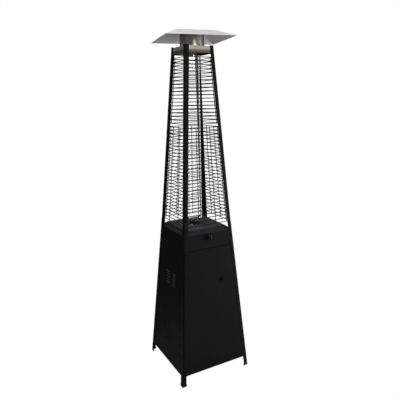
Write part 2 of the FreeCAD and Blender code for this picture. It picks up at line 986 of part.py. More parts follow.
def make_platform():
    level = size("tray_level") + size("tray_sheet")
    foot = half(level) - size("angle_thickness") * 2 - 0.2
    top, thickness = size("platform_top"), size("platform_sheet")
    body = folded_tray(level, foot, top, size("platform_half"), thickness)
    cut_circles(body, [(size("tube_hole_radius"), 0.0, 0.0)])
    finish(body, "burner_platform")


# Glass tube and head


def make_tube():
    radius, wall = size("tube_radius"), size("tube_wall")
    low, high = size("tube_bottom"), size("tube_top")
    glass = new_body("Glass")
    pad_ring(glass, radius, radius - wall, low, high - low)
    finish(glass, "glass_tube")
    seat = new_body("Seat")
    seat_low = size("tray_level") + size("tray_sheet")
    pad_ring(seat, radius + 6.0, radius - 6.0, seat_low, low - seat_low)
    pad_ring(seat, radius + 6.0, radius + 0.5, low, Size(6.0))
    finish(seat, "tube_seat_ring")
    collar = new_body("Collar")
    pad_ring(collar, radius + 8.0, radius, size("plate_top"), Size(5.0))
    finish(collar, "tube_collar")


def make_top_plate(plate_drills):
    low, high = size("plate_bottom"), size("plate_top")
    inset = size("angle_thickness") * 2
    body = folded_tray(low, half(low) - inset, high, half(high) - inset, size("plate_sheet"))
    cut_circles(body, [(size("tube_hole_radius"), 0.0, 0.0)])
    drilled(body, "top_plate", plate_drills)


def make_flame_screen():
    radius, sheet_size = size("screen_radius"), size("screen_sheet")
    low, high = size("plate_top"), size("screen_top")
    wall = new_body("ScreenWall")
    pad_ring(wall, radius, radius - sheet_size, low, high - low)
    pad_ring(wall, radius + 6.0, radius - sheet_size, low, sheet_size)
    finish(wall, "flame_screen")
    cap = new_body("ScreenCap")
    pad_ring(cap, radius + 1.0, None, high, sheet_size)
    pad_ring(cap, radius + 1.0, radius + 0.2, high - 10.0, Size(10.0))
    finish(cap, "flame_screen_cap")


def stud_places():
    spread = size("stud_spread").value
    corners = [FreeCAD.Vector(x, y, 0) for x in (-spread, spread) for y in (-spread, spread)]
    turn = turned(size("reflector_turn").value)
    return [FreeCAD.Placement(turn.multVec(c), FreeCAD.Rotation()) for c in corners]


def make_reflector():
    low, high = size("reflector_rim_level"), size("reflector_top_level")
    rim, flat = size("reflector_rim_half"), size("reflector_top_half")
    body = folded_tray(low, rim, high, flat, size("reflector_sheet"))
    spread, radius = size("stud_spread"), size("stud_radius")
    holes = [(radius + 0.2, spread * x, spread * y) for x in (-1, 1) for y in (-1, 1)]
    cut_circles(body, holes)
    finish(body, "reflector", turned(size("reflector_turn").value))

    stud = new_body("Stud")
    cap_top = size("screen_top") + size("screen_sheet")
    under = high - size("reflector_sheet")
    pad_ring(stud, radius, None, cap_top, high + 6.0 - cap_top)
    pad_ring(stud, radius + 3.0, None, cap_top, under - cap_top)
    nut = new_body("Nut")
    nut_profile = [
        (radius, high),
        (radius + 4.5, high),
        (radius + 4.5, high + 1.0),
        (radius + 2.0, high + 2.0),
        (radius + 2.0, high + 5.0),
        (0.0, high + 8.0),
        (0.0, high + 6.0),
        (radius, high + 6.0),
    ]
    turned_part(nut, nut_profile)
    doc.recompute()
    for label, template in (("reflector_studs", stud), ("reflector_nuts", nut)):
        group = doc.addObject("Part::Feature", "Group")
        group.Shape = copies(template, stud_places())
        finish(group, label)


# Guards


def bar(start, end, radius):
    return Part.makeCylinder(radius, (end - start).Length, start, end - start)


def face_point(across, level, out):
    return FreeCAD.Vector(across, along(level).value, out)


def guard_shape(low, high, rails, tabs, upright_share):
    """A welded grid: level wires, upright wires behind them, and tabs that take the screws."""
    face_out = -2 * upper.skin.value
    plane_out = face_out - size("rail_radius").value
    wire, rail, upright = (size(n).value for n in ("wire_radius", "rail_radius", "upright_radius"))
    side_gap = size("guard_side_gap").value
    rows = round((high - low) / size("wire_pitch").value)
    levels = [low + (high - low) * i / rows for i in range(rows + 1)]
    plain = [level for level in levels if min(abs(level - r) for r in rails) > rail + wire]
    pieces = []
    for level, radius in [(v, wire) for v in plain] + [(v, rail) for v in rails]:
        reach = half(level).value - side_gap
        ends = [face_point(side * reach, level, plane_out) for side in (-1, 1)]
        pieces.append(bar(ends[0], ends[1], radius))
    behind = plane_out - wire - upright + size("weld").value
    inset = size("edge_upright_margin").value
    shares = [-upright_share, upright_share] if upright_share else []
    for share, edge in [(s, 0) for s in shares] + [(-1, 1), (1, 1)]:
        foot, head = (share * (half(z).value - edge * inset) for z in (low, high))
        pieces.append(bar(face_point(foot, low, behind), face_point(head, high, behind), upright))
    thickness, height = size("tab_thickness").value, size("tab_height").value
    for level in tabs:
        near = (half(level) - size("tab_margin")).value
        far = (half(level) - size("edge_upright_margin")).value
        for side in (-1, 1):
            corner = face_point(min(side * near, side * far), level, face_out - thickness)
            corner.y -= height / 2
            tab = Part.makeBox(near - far, height, thickness, corner)
            hole_at = face_point(side * (half(level) - size("screw_margin")).value, level, -20.0)
            hole = Part.makeCylinder(size("screw_hole_radius").value, 30.0, hole_at, Z_AXIS)
            pieces.append(tab.cut(hole))
    return pieces[0].multiFuse(pieces[1:])


def make_guards():
    bottom, middle = size("bottom_rail").value, size("middle_rail").value
    top, tab = size("top_rail").value, size("upper_tab").value
    tall = guard_shape(
        size("lower_guard_bottom").value,
        size("lower_guard_top").value,
        rails=[bottom, middle],
        tabs=[bottom, middle],
        upright_share=size("upright_share").value,
    )
    short = guard_shape(
        size("upper_guard_bottom").value,
        size("upper_guard_top").value,
        rails=[top],
        tabs=[tab, top],
        upright_share=None,
    )
    for name, shape in (("lower_guard", tall), ("upper_guard", short)):
        for face in FACE_TURN:
            guard = doc.addObject("Part::Feature", "Guard")
            guard.Shape = shape
            finish(guard, f"{name}_{face}", face_placement(face, taper=upper))


# The whole heater


def build():
    leg_drills = drills(LEG_LEVELS)
    post_drills = drills(POST_LEVELS)
    panel_drills = drills(PANEL_LEVELS)
    plate_drills = drills(("plate_screw",))
    make_frame(leg_drills, post_drills)
    make_shelf()
    make_panels(panel_drills)
    make_door()
    make_door_knob()
    make_hinge()
    make_catch()
    make_valve()
    make_plug_stem_and_knob()
    make_gas_pipe()
    make_burner_tray()
    make_burner()
    make_platform()
    make_tube()
    make_top_plate(plate_drills)
    make_flame_screen()
    make_reflector()
    make_guards()
    screw = screw_template()
    doc.recompute()
    inset = upper.skin.value
    screws(screw, "panel_screws", PANEL_LEVELS, 0.0)
    screws(screw, "post_screws", ("post_screw",), 0.0)
    screws(screw, "guard_screws", ("bottom_rail", "middle_rail", "upper_tab", "top_rail"), inset)
    screws(screw, "plate_screws", ("plate_screw",), inset)


def check_and_write():
    doc.recompute()
    broken = [o.Label for o in doc.Objects if "Invalid" in o.State or "Error" in o.State]
    for node in nodes:
        if node.Shape.isNull() or not node.Shape.isValid():
            broken.append(node.Label)
    if broken:
        raise RuntimeError(f"these objects failed: {broken}")
    os.makedirs("parts", exist_ok=True)
    for node in nodes:
        node.Shape.exportStep(f"parts/{node.Label}.step")
    print(f"wrote {len(nodes)} parts")


build()
check_and_write()
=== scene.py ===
import json
import math
import random

import bmesh
import bpy
from mathutils import Matrix, Vector


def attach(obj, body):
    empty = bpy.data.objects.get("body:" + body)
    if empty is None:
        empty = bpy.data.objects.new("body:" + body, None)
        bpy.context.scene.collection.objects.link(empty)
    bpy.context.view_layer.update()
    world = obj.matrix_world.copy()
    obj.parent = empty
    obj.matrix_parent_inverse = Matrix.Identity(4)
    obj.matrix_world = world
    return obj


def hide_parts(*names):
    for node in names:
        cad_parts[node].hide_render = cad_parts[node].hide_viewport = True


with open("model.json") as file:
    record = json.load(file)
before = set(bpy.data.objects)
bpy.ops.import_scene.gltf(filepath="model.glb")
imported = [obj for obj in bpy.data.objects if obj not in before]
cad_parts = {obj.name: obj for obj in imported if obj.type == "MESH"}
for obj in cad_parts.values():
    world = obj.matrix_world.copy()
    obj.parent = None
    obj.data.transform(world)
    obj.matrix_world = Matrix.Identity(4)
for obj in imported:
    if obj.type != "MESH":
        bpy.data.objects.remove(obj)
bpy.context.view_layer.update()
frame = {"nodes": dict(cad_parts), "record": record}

nodes = frame["nodes"]
random.seed(7)

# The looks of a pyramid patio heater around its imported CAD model. Metres, +Z up, door towards -Y.

# Sizes shared with the CAD model
KNEE = 1.012
POST_TOP, LEG_TOP, FOOT_TOP = 2.187, 1.062, 0.012
ANGLE_SHEET = 0.0015
LEG_WIDTH, POST_WIDTH = 0.029, 0.026
KNOB_LEVEL, PULL_LEVEL, PULL_ACROSS = 0.982, 0.682, 0.082
LOUVRE_LEVEL, LOUVRE_PITCH = 0.672, 0.020
LOUVRE_SPREAD, LOUVRE_OFFSET, LOUVRE_REACH = 0.086, 0.015, 0.0295
SEAT_LEVEL, PLATFORM_TOP, PLATFORM_HALF, TUBE_HOLE = 1.0112, 1.035, 0.147, 0.047
TUBE_RADIUS, TUBE_BORE, TUBE_LOW, TUBE_HIGH = 0.045, 0.0425, 1.017, 2.196
PLATE_LOW, PLATE_TOP = 2.140, 2.182
SCREEN_RADIUS, SCREEN_TOP = 0.077, 2.262
RIM_LEVEL, RIM_HALF, CROWN_LEVEL, CROWN_HALF = 2.2291, 0.218, 2.270, 0.120
REFLECTOR_TURN = math.radians(-11.73)
STUD_SPREAD = 0.042
FACE_TURN = {"front": 0, "right": 90, "back": 180, "left": -90}
CORNER_TURN = {"front_left": 0, "front_right": 90, "back_right": 180, "back_left": -90}


class Taper:
    """One straight stretch of the tower, with its faces carried on down to the floor."""

    def __init__(self, low, low_half, high, high_half):
        self.slope = (low_half - high_half) / (high - low)
        self.floor_half = low_half + self.slope * low
        self.stretch = math.sqrt(1 + self.slope**2)
        self.lean = math.atan(self.slope)

    def half(self, level):
        return self.floor_half - self.slope * level

    def along(self, level):
        return level * self.stretch

    def face(self, face, across=0.0, level=0.0, out=0.0):
        """The frame of a leaning face: X across it, Y up it and Z straight out of it."""
        turn = Matrix.Rotation(math.radians(FACE_TURN[face]), 4, "Z")
        foot = Matrix.Translation((0, -self.floor_half, 0))
        tilt = Matrix.Rotation(math.pi / 2 - self.lean, 4, "X")
        return turn @ foot @ tilt @ Matrix.Translation((across, self.along(level), out))


lower = Taper(0.0, 0.2615, KNEE, 0.1800)
upper = Taper(KNEE, 0.1800, POST_TOP, 0.0996)


def half(level):
    return (lower if level < KNEE else upper).half(level)


# Materials


class Shader:
    """A node material built up from a few calls."""

    def __init__(self, name):
        self.material = bpy.data.materials.new(name)
        self.material.use_nodes = True
        self.tree = self.material.node_tree
        self.tree.nodes.clear()
        self.output = self.add("ShaderNodeOutputMaterial")
        self.bsdf = self.add("ShaderNodeBsdfPrincipled")
        self.link(self.bsdf.outputs["BSDF"], self.output.inputs["Surface"])
        self.coordinates = self.add("ShaderNodeTexCoord").outputs["Object"]

    def add(self, kind, **values):
        node = self.tree.nodes.new(kind)
        for key, value in values.items():
            if hasattr(node, key):
                setattr(node, key, value)
            else:
                node.inputs[key].default_value = value
        return node

    def link(self, source, target):
        self.tree.links.new(source, target)

    def set(self, **values):
        for key, value in values.items():
            self.bsdf.inputs[key.replace("_", " ")].default_value = value

    def stretched(self, scale):
        mapping = self.add("ShaderNodeMapping")
        mapping.inputs["Scale"].default_value = scale
        self.link(self.coordinates, mapping.inputs["Vector"])
        return mapping.outputs["Vector"]

    def noise(self, scale, detail=3.0, roughness=0.5, vector=None):
        node = self.add("ShaderNodeTexNoise")
        node.inputs["Scale"].default_value = scale
        node.inputs["Detail"].default_value = detail
        node.inputs["Roughness"].default_value = roughness
        self.link(vector or self.coordinates, node.inputs["Vector"])
        return node.outputs["Fac"]

    def cells(self, scale):
        node = self.add("ShaderNodeTexVoronoi", feature="SMOOTH_F1")
        node.inputs["Scale"].default_value = scale
        self.link(self.coordinates, node.inputs["Vector"])
        return node.outputs["Distance"]

    def height(self):
        split = self.add("ShaderNodeSeparateXYZ")
        self.link(self.coordinates, split.inputs["Vector"])
        return split.outputs["Z"]

    def ramp(self, source, stops):
        node = self.add("ShaderNodeValToRGB")
        elements = node.color_ramp.elements
        while len(elements) < len(stops):
            elements.new(0.5)
        for element, (place, colour) in zip(elements, stops):
            element.position = place
            element.color = (*colour, 1.0)
        self.link(source, node.inputs["Fac"])
        return node.outputs["Color"]

    def mix(self, factor, first, second, blend="MIX"):
        node = self.add("ShaderNodeMixRGB", blend_type=blend)
        for source, key in ((factor, "Fac"), (first, "Color1"), (second, "Color2")):
            if isinstance(source, (int, float)):
                node.inputs[key].default_value = source
            else:
                self.link(source, node.inputs[key])
        return node.outputs["Color"]

    def between(self, source, low, high, start=0.0, end=1.0):
        node = self.add("ShaderNodeMapRange")
        node.inputs["From Min"].default_value = start
        node.inputs["From Max"].default_value = end
        node.inputs["To Min"].default_value = low
        node.inputs["To Max"].default_value = high
        self.link(source, node.inputs["Value"])
        return node.outputs["Result"]

    def sum(self, first, second):
        node = self.add("ShaderNodeMath", operation="ADD")
        self.link(first, node.inputs[0])
        self.link(second, node.inputs[1])
        return node.outputs["Value"]

    def bump(self, source, distance, strength=1.0):
        node = self.add("ShaderNodeBump")
        node.inputs["Strength"].default_value = strength
        node.inputs["Distance"].default_value = distance
        self.link(source, node.inputs["Height"])
        self.link(node.outputs["Normal"], self.bsdf.inputs["Normal"])


def grey(level, warm=0.0):
    return (level * (1 + warm), level, level * (1 - warm))


def powder_coat(name, dark, light, rough=0.45, specular=0.075, peel=0.00006, slope_shade=1.0):
    """Sprayed and baked powder: orange peel, a cloudy coat, dust flecks, and optional painted shade that
    darkens every face that is not level.
    """
    s = Shader(name)
    cloud = s.ramp(s.noise(7.0, 5.0, 0.6), [(0.3, dark), (0.7, light)])
    dust_colour = tuple(min(1.0, v * 1.3 + 0.001) for v in light)
    dust = s.between(s.noise(160.0, 4.0, 0.7), 0.0, 0.55, 0.58, 0.8)
    flecks = s.add("ShaderNodeRGB")
    flecks.outputs[0].default_value = (*dust_colour, 1.0)
    colour = s.mix(dust, cloud, flecks.outputs[0])
    # Painted shade: faces that are not level are multiplied down to a grey, while level tops keep their
    # colour.
    if slope_shade < 1.0:
        level = s.add("ShaderNodeSeparateXYZ")
        s.link(s.add("ShaderNodeNewGeometry").outputs["Normal"], level.inputs["Vector"])
        level_facing = s.between(level.outputs["Z"], 0.0, 1.0, 0.9, 0.99)
        shade = s.ramp(level_facing, [(0.0, grey(slope_shade)), (1.0, grey(1.0))])
        colour = s.mix(1.0, colour, shade, "MULTIPLY")
    s.link(colour, s.bsdf.inputs["Base Color"])
    s.link(s.between(s.noise(28.0, 4.0), rough - 0.08, rough + 0.1, 0.3, 0.7),
           s.bsdf.inputs["Roughness"])
    s.set(Specular_IOR_Level=specular)
    s.bump(s.sum(s.noise(850.0, 2.0), s.cells(600.0)), peel, 0.7)
    return s.material


def brushed(name, dark, light, rough, stretch, metallic=1.0, tone_by_height=None):
    """Metal sheet with fine lines along one direction, faint smears, and an optional colour ramp by
    height: painted shade towards the top of the flame screen, and a browner, darker lower edge on the
    head plate.
    """
    s = Shader(name)
    lines = s.noise(1.0, 5.0, 0.65, s.stretched(stretch))
    colour = s.ramp(lines, [(0.3, dark), (0.7, light)])
    smears = s.ramp(s.noise(6.0, 4.0, 0.6), [(0.35, grey(0.82)), (0.7, grey(1.0))])
    colour = s.mix(1.0, colour, smears, "MULTIPLY")
    # The ramp by height multiplies the colour; on the flame screen it is painted shade that darkens the
    # top.
    if tone_by_height:
        low, high, stops = tone_by_height
        place = s.between(s.height(), 0.0, 1.0, low, high)
        colour = s.mix(1.0, colour, s.ramp(place, stops), "MULTIPLY")
    s.link(colour, s.bsdf.inputs["Base Color"])
    s.link(s.between(s.noise(14.0, 4.0), rough - 0.06, rough + 0.1, 0.3, 0.7),
           s.bsdf.inputs["Roughness"])
    s.set(Metallic=metallic)
    s.bump(lines, 0.00003, 0.5)
    return s.material


def clear_glass(name):
    """Borosilicate tube glass: clear, with a little haze in places."""
    s = Shader(name)
    s.set(Base_Color=(0.985, 0.992, 0.99, 1.0), IOR=1.47, Transmission_Weight=1.0)
    s.link(s.between(s.noise(16.0, 4.0), 0.0, 0.02, 0.45, 0.9), s.bsdf.inputs["Roughness"])
    return s.material


def moulded(name, dark, light, rough, specular=0.3):
    """Moulded plastic or rubber with a fine spark texture."""
    s = Shader(name)
    s.link(s.ramp(s.noise(40.0, 4.0), [(0.35, dark), (0.7, light)]), s.bsdf.inputs["Base Color"])
    s.link(s.between(s.noise(70.0, 3.0), rough - 0.07, rough + 0.07, 0.3, 0.7),
           s.bsdf.inputs["Roughness"])
    s.set(Specular_IOR_Level=specular)
    s.bump(s.noise(1800.0, 3.0, 0.6), 0.00005, 0.6)
    return s.material


POST_BLACK = (grey(0.0024), grey(0.0041))
PANEL_BLACK = (grey(0.0029), grey(0.0042))
PLATFORM_GREYS = ((0.05, 0.051, 0.058), (0.066, 0.067, 0.075))
TURNED = (60, 60, 900)
# Flame screen: a warm tone low down, and painted shade that darkens it towards its top and cap, where
# the reflector's shadow falls.
SCREEN_TONE_AND_SHADE = [(0.0, (1.0, 0.9, 0.78)), (0.55, (0.8, 0.74, 0.68)), (1.0, (0.4, 0.38, 0.37))]
SCREEN_TONE_AND_SHADE_SPAN = (PLATE_TOP, SCREEN_TOP, SCREEN_TONE_AND_SHADE)
# The head plate turns browner and darker towards its lower edge.
PLATE_TONE_BY_HEIGHT = [
    (0.0, (0.16, 0.11, 0.08)), (0.35, (0.35, 0.27, 0.2)), (0.6, (0.95, 0.9, 0.82)),
    (1.0, (1.0, 0.97, 0.93)),
]
PLATE_TONE_SPAN = (PLATE_LOW, PLATE_TOP, PLATE_TONE_BY_HEIGHT)
paint = {
    "post_paint": powder_coat("PostPaint", *POST_BLACK, 0.42),
    "panel_paint": powder_coat("PanelPaint", *PANEL_BLACK, 0.5),
    "shelf_paint": powder_coat("ShelfPaint", *POST_BLACK),
    # The platform's sloping skirt and underside get painted shade, at 0.3 of the colour of its level
    # top.
    "platform_paint": powder_coat("PlatformPaint", *PLATFORM_GREYS, 0.5, slope_shade=0.3),
    # The louvre hoods are pressed from the panel sheet; their lighter grey is a painted highlight on
    # their ridges.
    "hood_highlight_paint": powder_coat("HoodHighlightPaint", grey(0.01), grey(0.05), 0.3, 0.5),
    "guard_paint": powder_coat("GuardPaint", *POST_BLACK, 0.4),
    "hinge_paint": powder_coat("HingePaint", *POST_BLACK),
    "foot_rubber": moulded("FootRubber", grey(0.008), grey(0.014), 0.7),
    "knob_plastic": moulded("KnobPlastic", grey(0.003), grey(0.005), 0.45, 0.15),
    "dial_metal": moulded("DialPlate", grey(0.0022), grey(0.0035), 0.5, 0.08),
    "door_knob_metal": powder_coat("PullPaint", *PANEL_BLACK, 0.4),
    "brass": brushed("Brass", (0.45, 0.3, 0.1), (0.65, 0.47, 0.2), 0.3, (200, 200, 800)),
    "machined_steel": brushed("MachinedSteel", grey(0.4), grey(0.6), 0.25, TURNED),
    "pipe_aluminium": brushed("PipeAluminium", grey(0.5), grey(0.65), 0.3, (60, 60, 60)),
    "burner_steel": brushed("BurnerSteel", grey(0.035, 0.1), grey(0.07, 0.08), 0.45, TURNED, 0.7),
    "ceramic": moulded("Ceramic", (0.6, 0.58, 0.53), (0.75, 0.74, 0.7), 0.25, 0.5),
    "tube_glass": clear_glass("TubeGlass"),
    "gasket": moulded("Gasket", grey(0.05), grey(0.09), 0.8),
    "plate_steel": brushed(
        "PlateSteel", grey(0.42, 0.05), grey(0.55, 0.04), 0.42, (40, 40, 900), 0.9, PLATE_TONE_SPAN),
    "screen_steel": brushed(
        "ScreenSteel", grey(0.3, 0.04), grey(0.45, 0.03), 0.35, TURNED, 1.0, SCREEN_TONE_AND_SHADE_SPAN),
    "reflector_aluminium": brushed(
        "ReflectorSheet", grey(0.78, 0.015), grey(0.86, 0.012), 0.5, (30, 600, 30), 0.4),
    "fixing_steel": brushed("FixingSteel", grey(0.4), grey(0.6), 0.3, TURNED),
    "black_fixing": powder_coat("BlackFixing", grey(0.006), grey(0.010), 0.35),
}

slot_of = {p["node"]: p["material_slot"] for p in frame["record"]["subparts"]}
for name, obj in nodes.items():
    obj.data.materials.clear()
    obj.data.materials.append(paint[slot_of[name]])

# Mesh building


class Mesh:
    """Vertices and faces gathered from several shapes."""

    def __init__(self):
        self.verts = []
        self.faces = []

    def add(self, verts, faces, matrix=None):
        base = len(self.verts)
        self.verts += [matrix @ Vector(v) for v in verts] if matrix else [Vector(v) for v in verts]
        self.faces += [[base + i for i in face] for face in faces]

    def loft(self, rings, matrix=None, start_cap=True, end_cap=True, loop=False):
        """Skins closed rings that all have the same number of points."""
        count = len(rings[0])
        verts = [p for ring in rings for p in ring]
        faces = []
        for r in range(len(rings) if loop else len(rings) - 1):
            a, b = r * count, ((r + 1) % len(rings)) * count
            for i in range(count):
                j = (i + 1) % count
                faces.append([a + i, a + j, b + j, b + i])
        if start_cap and not loop:
            faces.append(list(range(count))[::-1])
        if end_cap and not loop:
            faces.append(list(range((len(rings) - 1) * count, len(rings) * count)))
        self.add(verts, faces, matrix)

    def lathe(self, profile, sides, matrix=None, loop=False):
        """Turns a profile of (radius, height) about Z."""
        rings = [circle(radius, height, sides) for radius, height in profile]
        self.loft(rings, matrix, loop=loop)

    def rod(self, start, end, radius, sides=12, swells=(), swell=0.25):
        """A round wire with softened ends, a little thicker where it is welded."""
        start, end = Vector(start), Vector(end)
        run = end - start
        length = run.length
        turn = run.to_track_quat("Z", "Y").to_matrix().to_4x4()
        stations = [(0.0, 0.55), (0.35 * radius, 0.88), (radius, 1.0)]
        for place in sorted(swells):
            reach = 2.2 * radius
            stations += [(place - reach, 1.0), (place, 1.0 + swell), (place + reach, 1.0)]
        stations += [(length - radius, 1.0), (length - 0.35 * radius, 0.88), (length, 0.55)]
        rings = [circle(radius * share, place, sides) for place, share in stations]
        self.loft(rings, Matrix.Translation(start) @ turn)

    def slab(self, outline, low, high, matrix=None, bevel=0.0003):
        """A flat sheet with softened edges, from an outline given anticlockwise."""
        inner = inset(outline, bevel)
        rings = [
            [(x, y, low) for x, y in inner],
            [(x, y, low + bevel) for x, y in outline],
            [(x, y, high - bevel) for x, y in outline],
            [(x, y, high) for x, y in inner],
        ]
        self.loft(rings, matrix)

    def piece(self, name, slot, replaced=(), body="root", angle=32):
        data = bpy.data.meshes.new(name)
        data.from_pydata(self.verts, [], self.faces)
        work = bmesh.new()
        work.from_mesh(data)
        bmesh.ops.remove_doubles(work, verts=work.verts, dist=0.000002)
        bmesh.ops.recalc_face_normals(work, faces=work.faces)
        if work.calc_volume(signed=True) < 0:
            bmesh.ops.reverse_faces(work, faces=work.faces)
        work.to_mesh(data)
        work.free()
        data.shade_smooth()
        data.set_sharp_from_angle(angle=math.radians(angle))
        obj = bpy.data.objects.new(name, data)
        bpy.context.scene.collection.objects.link(obj)
        data.materials.append(paint[slot])
        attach(obj, body)
        if replaced:
            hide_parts(*replaced)
        return obj


def circle(radius, height, sides, start=0.0):
    turns = [start + 2 * math.pi * i / sides for i in range(sides)]
    return [(radius * math.cos(t), radius * math.sin(t), height) for t in turns]


def inset(outline, distance):
    """Moves every side of an anticlockwise outline inwards."""
    moved = []
    count = len(outline)
    for i in range(count):
        before, here, after = (Vector(outline[(i + k) % count]) for k in (-1, 0, 1))
        first, second = (here - before).normalized(), (after - here).normalized()
        left = Vector((-first.y, first.x)) + Vector((-second.y, second.x))
        left.normalize()
        cosine = max(0.3, left.dot(Vector((-first.y, first.x))))
        moved.append(tuple(here + left * (distance / cosine)))
    return moved


def rounded(points, radii, steps=4):
    """A polygon with each corner turned into an arc of its own radius."""
    outline = []
    count = len(points)
    for i in range(count):
        before, here, after = (Vector(points[(i + k) % count]) for k in (-1, 0, 1))
        come, leave = (before - here).normalized(), (after - here).normalized()
        corner = come.angle(leave)
        radius = radii[i]
        setback = radius / math.tan(corner / 2)
        centre = here + (come + leave).normalized() * (radius / math.sin(corner / 2))
        first, last = here + come * setback - centre, here + leave * setback - centre
        for k in range(steps + 1):
            share = k / steps
            arm = first.lerp(last, share).normalized() * radius
            outline.append(tuple(centre + arm))
    return outline


def square_ring(reach, height, radius, steps=4):
    corners = [(-reach, -reach), (reach, -reach), (reach, reach), (-reach, reach)]
    return [(x, y, height) for x, y in rounded(corners, [radius] * 4, steps)]


def hole_ring(radius, height, steps=4):
    """A circle with the same number of points as a square ring, in step with it."""
    square = square_ring(1.0, 0.0, 0.5, steps)
    ring = []
    for x, y, _ in square:
        turn = math.atan2(y, x)
        ring.append((radius * math.cos(turn), radius * math.sin(turn), height))
    return ring


# Corner legs and posts


def post_rings(levels, inset_from_corner, width):
    """Rings of an L section with a pressed outer bend, following the corner of the tower."""
    sheet = ANGLE_SHEET
    points = [(0, 0), (width, 0), (width, sheet), (sheet, sheet), (sheet, width), (0, width)]
    outline = rounded(points, [0.0022, 0.0005, 0.0005, 0.0009, 0.0005, 0.0005])
    soft = inset(outline, 0.0003)
    rings = []
    for index, level in enumerate(levels):
        corner = inset_from_corner - half(level)
        ends = index in (0, len(levels) - 1)
        section = soft if ends else outline
        rings.append([(corner + x, corner + y, level) for x, y in section])
    return rings


def make_posts():
    lip = 0.0004
    leg_levels = [FOOT_TOP, FOOT_TOP + lip, 0.35, 0.68, KNEE, LEG_TOP - lip, LEG_TOP]
    post_levels = [KNEE, KNEE + lip, 1.4, 1.8, POST_TOP - lip, POST_TOP]
    for corner, turn in CORNER_TURN.items():
        spin = Matrix.Rotation(math.radians(turn), 4, "Z")
        leg = Mesh()
        leg.loft(post_rings(leg_levels, 0.0, LEG_WIDTH), spin)
        leg.piece(f"leg_{corner}", "post_paint", [f"lower_leg_{corner}"])
        post = Mesh()
        post.loft(post_rings(post_levels, ANGLE_SHEET, POST_WIDTH), spin)
        post.piece(f"post_{corner}", "post_paint", [f"upper_post_{corner}"])


make_posts()

# Wire guards

WIRE, RAIL, UPRIGHT = 0.0025, 0.003, 0.0025
SIDE_GAP, EDGE_MARGIN, TAB_MARGIN = 0.018, 0.0295, 0.007
WIRE_PITCH = 0.023


def make_guard(name, face, low, high, rails, tabs, share):
    """Level wires across a face, with thicker rails, upright wires behind and screw tabs."""
    guard = Mesh()
    place = upper.face(face)
    face_out = -2 * ANGLE_SHEET / upper.stretch
    out = face_out - RAIL
    rows = round((high - low) / WIRE_PITCH)
    levels = [low + (high - low) * i / rows for i in range(rows + 1)]
    plain = [v for v in levels if min(abs(v - r) for r in rails) > RAIL + WIRE]
    shares = [(-share, 0), (share, 0)] if share else []
    uprights = shares + [(-1, 1), (1, 1)]

    def upright_at(level, upright):
        side, edge = upright
        return side * (half(level) - edge * EDGE_MARGIN)

    for level, radius in [(v, WIRE) for v in plain] + [(v, RAIL) for v in rails]:
        reach = half(level) - SIDE_GAP
        drift = random.uniform(-0.0004, 0.0004)
        height = upper.along(level)
        ends = [place @ Vector((side * reach, height + side * drift, out)) for side in (-1, 1)]
        welds = [upright_at(level, u) + reach for u in uprights]
        guard.rod(ends[0], ends[1], radius, 12, welds)
    behind = out - WIRE - UPRIGHT + 0.0005
    for upright in uprights:
        ends = [
            place @ Vector((upright_at(level, upright), upper.along(level), behind))
            for level in (low - WIRE * 0.4, high + WIRE * 0.4)
        ]
        guard.rod(ends[0], ends[1], UPRIGHT, 12)
    tab_high, tab_sheet = 0.016, 0.0016
    for level in tabs:
        near, far = half(level) - TAB_MARGIN, half(level) - EDGE_MARGIN
        for side in (-1, 1):
            left, right = sorted((side * near, side * far))
            middle = upper.along(level)
            corners = [
                (left, middle - tab_high / 2), (right, middle - tab_high / 2),
                (right, middle + tab_high / 2), (left, middle + tab_high / 2),
            ]
            outline = rounded(corners, [0.003] * 4)
            guard.slab(outline, face_out - tab_sheet, face_out, place)
    guard.piece(name, "guard_paint", [name.replace("wires", "guard")])


for face in FACE_TURN:
    make_guard(f"lower_wires_{face}", face, 1.068, 1.691, [1.137, 1.645], [1.137, 1.645], 0.36)
    make_guard(f"upper_wires_{face}", face, 1.714, 2.117, [2.094], [1.737, 2.094], None)

# Cabinet: door, door pull and louvre hoods

SHEET = 0.0008
DOOR_LOW, DOOR_HIGH, DOOR_OUT = 0.073, 0.908, 0.0011
DOOR_LEFT, DOOR_RIGHT = 0.011, LEG_WIDTH + 0.0015
RETURN_MARGIN, RETURN_DEPTH = LEG_WIDTH + 0.003, 0.012


def strip(low, high, left, right):
    """A slanting strip of the cabinet's face, as an anticlockwise outline."""
    return [
        (left - half(low), lower.along(low)),
        (half(low) - right, lower.along(low)),
        (half(high) - right, lower.along(high)),
        (left - half(high), lower.along(high)),
    ]


def folded_edge(mesh, place, level, out, upward):
    """The bent fold behind a level edge: a quarter bend, then a flat return."""
    bend = 0.0018
    side = 1 if upward else -1
    profile = []
    for k in range(5):
        turn = math.radians(90 * k / 4)
        profile.append((bend * (1 - math.cos(turn)), bend * math.sin(turn)))
    profile.append((RETURN_DEPTH, bend))
    reach = half(level) - RETURN_MARGIN
    base = lower.along(level) - side * bend
    rings = []
    for across in (-reach, -reach + 0.001, reach - 0.001, reach):
        thin = SHEET * (0.6 if abs(across) == reach else 1.0)
        outer = [(across, base + side * up, out + SHEET - depth) for depth, up in profile]
        inner = [
            (across, base + side * (up - thin if depth >= bend else max(0.0, up - thin)),
             out + SHEET - max(depth, thin))
            for depth, up in profile[::-1]
        ]
        rings.append(outer + inner)
    mesh.loft(rings, place)


